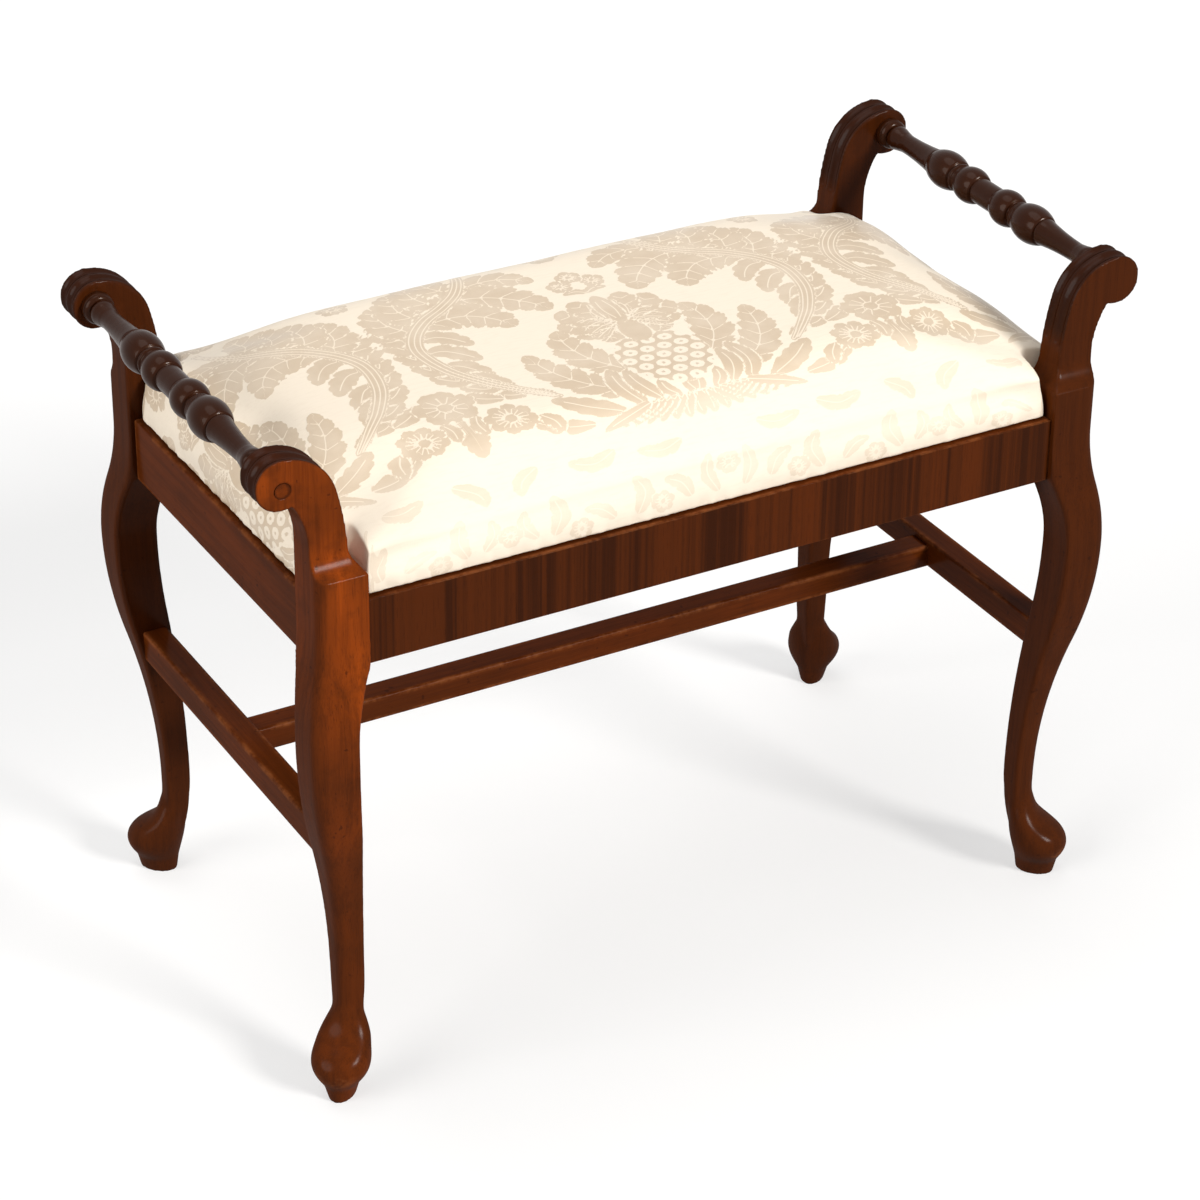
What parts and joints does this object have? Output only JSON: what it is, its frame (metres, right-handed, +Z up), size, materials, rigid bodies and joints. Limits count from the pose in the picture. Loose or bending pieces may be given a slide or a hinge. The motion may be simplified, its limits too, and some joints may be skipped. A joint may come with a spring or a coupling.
{
  "type": "upholstered bench",
  "caption": "Upholstered wooden bench with scroll-topped cabriole legs, turned side handles, an H-stretcher and a lift-out padded seat.",
  "frame": {"origin": "on the floor under the middle of the bench", "axes": "+X along the length to the right, -Y to the front, +Z up"},
  "size_m": [0.7876, 0.423, 0.5838],
  "materials": {
    "polished_mahogany": "polished, worn at the edges",
    "dark_turned_wood": "gloss",
    "cross_grain_veneer": "polished, striped upright grain",
    "plain_hardwood": "sawn, bare",
    "cotton_filling": "matt",
    "damask": "satin pattern on matt ground",
    "tack_steel": "blued"
  },
  "bodies": {
    "frame": {"centre_stretcher": "polished_mahogany", "front_left_corner_block": "plain_hardwood", "front_left_leg": "polished_mahogany", "front_left_plug": "polished_mahogany", "front_rail": "polished_mahogany", "front_rail_veneer": "cross_grain_veneer", "front_right_corner_block": "plain_hardwood", "front_right_leg": "polished_mahogany", "left_handle": "dark_turned_wood", "left_side_rail": "polished_mahogany", "left_stretcher": "polished_mahogany", "rail_dowels": "plain_hardwood", "rear_left_corner_block": "plain_hardwood", "rear_left_leg": "polished_mahogany", "rear_rail": "polished_mahogany", "rear_rail_veneer": "cross_grain_veneer", "rear_right_corner_block": "plain_hardwood", "rear_right_leg": "polished_mahogany", "right_handle": "dark_turned_wood", "right_side_rail": "polished_mahogany", "right_stretcher": "polished_mahogany"},
    "seat": {"seat_board": "plain_hardwood", "seat_filling": "cotton_filling", "seat_cover": "damask", "seat_tacks": "tack_steel"}
  },
  "joints": [
    {"name": "seat_lift_out", "type": "slide", "parent": "frame", "child": "seat", "axis": [0, 0, 1], "range_m": [0, 0.2]}
  ]
}
